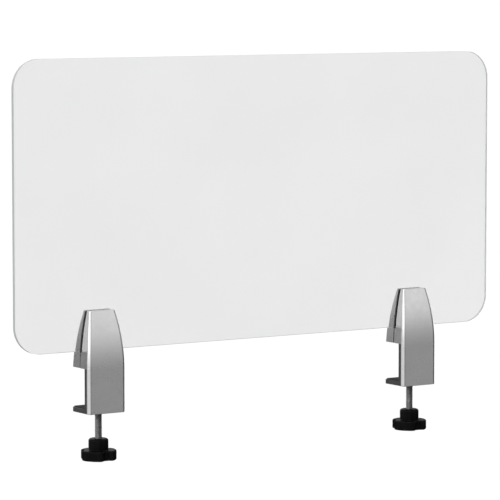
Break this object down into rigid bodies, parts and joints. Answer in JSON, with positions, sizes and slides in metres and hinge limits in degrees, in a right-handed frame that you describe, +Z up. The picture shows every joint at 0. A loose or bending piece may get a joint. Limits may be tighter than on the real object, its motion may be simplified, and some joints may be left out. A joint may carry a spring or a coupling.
{
  "type": "desk privacy panel",
  "caption": "Clear acrylic sheet with round corners, held upright on a desk edge by bullet-shaped screw clamps.",
  "frame": {"origin": "on the desk's top front edge, under the middle of the sheet", "axes": "+Z up, +X along the sheet, +Y from the desk's edge in over the desk"},
  "size_m": [0.6096, 0.0379, 0.4208],
  "materials": {
    "acrylic": "polished",
    "cast_metal": "satin",
    "dark_steel": "satin",
    "zinc_steel": "satin",
    "rubber": "matte",
    "black_plastic": "gloss"
  },
  "bodies": {
    "clamps": {"left_front_body": "cast_metal", "left_steel_bracket": "dark_steel", "left_flange_pad": "rubber", "left_front_liner": "rubber", "left_ledge_strip": "rubber", "left_ledge_desk_pad": "rubber", "left_bracket_screw_upper": "zinc_steel", "left_bracket_screw_lower": "zinc_steel", "right_front_body": "cast_metal", "right_steel_bracket": "dark_steel", "right_flange_pad": "rubber", "right_front_liner": "rubber", "right_ledge_strip": "rubber", "right_ledge_desk_pad": "rubber", "right_bracket_screw_upper": "zinc_steel", "right_bracket_screw_lower": "zinc_steel"},
    "sheet": {"acrylic_sheet": "acrylic"},
    "left_jaw": {"left_rear_jaw": "cast_metal", "left_rear_liner": "rubber", "left_jaw_desk_pad": "rubber"},
    "left_jaw_bolt_a": {"left_jaw_screw_a": "zinc_steel"},
    "left_jaw_bolt_b": {"left_jaw_screw_b": "zinc_steel"},
    "left_pressure_foot": {"left_foot": "zinc_steel", "left_foot_pad": "rubber"},
    "left_spindle": {"left_clamp_screw": "zinc_steel", "left_knob": "black_plastic", "left_knob_cap": "black_plastic"},
    "right_jaw": {"right_rear_jaw": "cast_metal", "right_rear_liner": "rubber", "right_jaw_desk_pad": "rubber"},
    "right_jaw_bolt_a": {"right_jaw_screw_a": "zinc_steel"},
    "right_jaw_bolt_b": {"right_jaw_screw_b": "zinc_steel"},
    "right_pressure_foot": {"right_foot": "zinc_steel", "right_foot_pad": "rubber"},
    "right_spindle": {"right_clamp_screw": "zinc_steel", "right_knob": "black_plastic", "right_knob_cap": "black_plastic"}
  },
  "joints": [
    {"name": "sheet_lift", "type": "slide", "parent": "clamps", "child": "sheet", "axis": [0, 0, 1], "range_m": [0, 0.045]},
    {"name": "left_foot_travel", "type": "slide", "parent": "clamps", "child": "left_pressure_foot", "axis": [0, 0, 1], "range_m": [0, 0.0278]},
    {"name": "left_screw_turn", "type": "hinge", "parent": "left_pressure_foot", "child": "left_spindle", "pos_m": [-0.2043, 0.0096, -0.06], "axis": [0, 0, 1], "range_deg": [0, 8006]},
    {"name": "left_jaw_travel", "type": "slide", "parent": "clamps", "child": "left_jaw", "axis": [0, 1, 0], "range_m": [0, 0.004]},
    {"name": "left_jaw_screw_a_turn", "type": "hinge", "parent": "left_jaw", "child": "left_jaw_bolt_a", "pos_m": [-0.2153, 0.012, 0.0086], "axis": [0, 1, 0], "range_deg": [-5, 1810]},
    {"name": "left_jaw_screw_b_turn", "type": "hinge", "parent": "left_jaw", "child": "left_jaw_bolt_b", "pos_m": [-0.1933, 0.012, 0.0086], "axis": [0, 1, 0], "range_deg": [-5, 1810]},
    {"name": "right_foot_travel", "type": "slide", "parent": "clamps", "child": "right_pressure_foot", "axis": [0, 0, 1], "range_m": [0, 0.0278]},
    {"name": "right_screw_turn", "type": "hinge", "parent": "right_pressure_foot", "child": "right_spindle", "pos_m": [0.1997, 0.0096, -0.06], "axis": [0, 0, 1], "range_deg": [0, 8006]},
    {"name": "right_jaw_travel", "type": "slide", "parent": "clamps", "child": "right_jaw", "axis": [0, 1, 0], "range_m": [0, 0.004]},
    {"name": "right_jaw_screw_a_turn", "type": "hinge", "parent": "right_jaw", "child": "right_jaw_bolt_a", "pos_m": [0.1887, 0.012, 0.0086], "axis": [0, 1, 0], "range_deg": [-5, 1810]},
    {"name": "right_jaw_screw_b_turn", "type": "hinge", "parent": "right_jaw", "child": "right_jaw_bolt_b", "pos_m": [0.2107, 0.012, 0.0086], "axis": [0, 1, 0], "range_deg": [-5, 1810]}
  ],
  "couplings": [
    {"joint": "left_jaw_screw_a_turn", "follows": "left_jaw_travel", "rad_per_m": 7854},
    {"joint": "left_jaw_screw_b_turn", "follows": "left_jaw_travel", "rad_per_m": 7854},
    {"joint": "left_foot_travel", "follows": "left_screw_turn", "m_per_rad": 0.00019894},
    {"joint": "right_jaw_screw_a_turn", "follows": "right_jaw_travel", "rad_per_m": 7854},
    {"joint": "right_jaw_screw_b_turn", "follows": "right_jaw_travel", "rad_per_m": 7854},
    {"joint": "right_foot_travel", "follows": "right_screw_turn", "m_per_rad": 0.00019894}
  ]
}
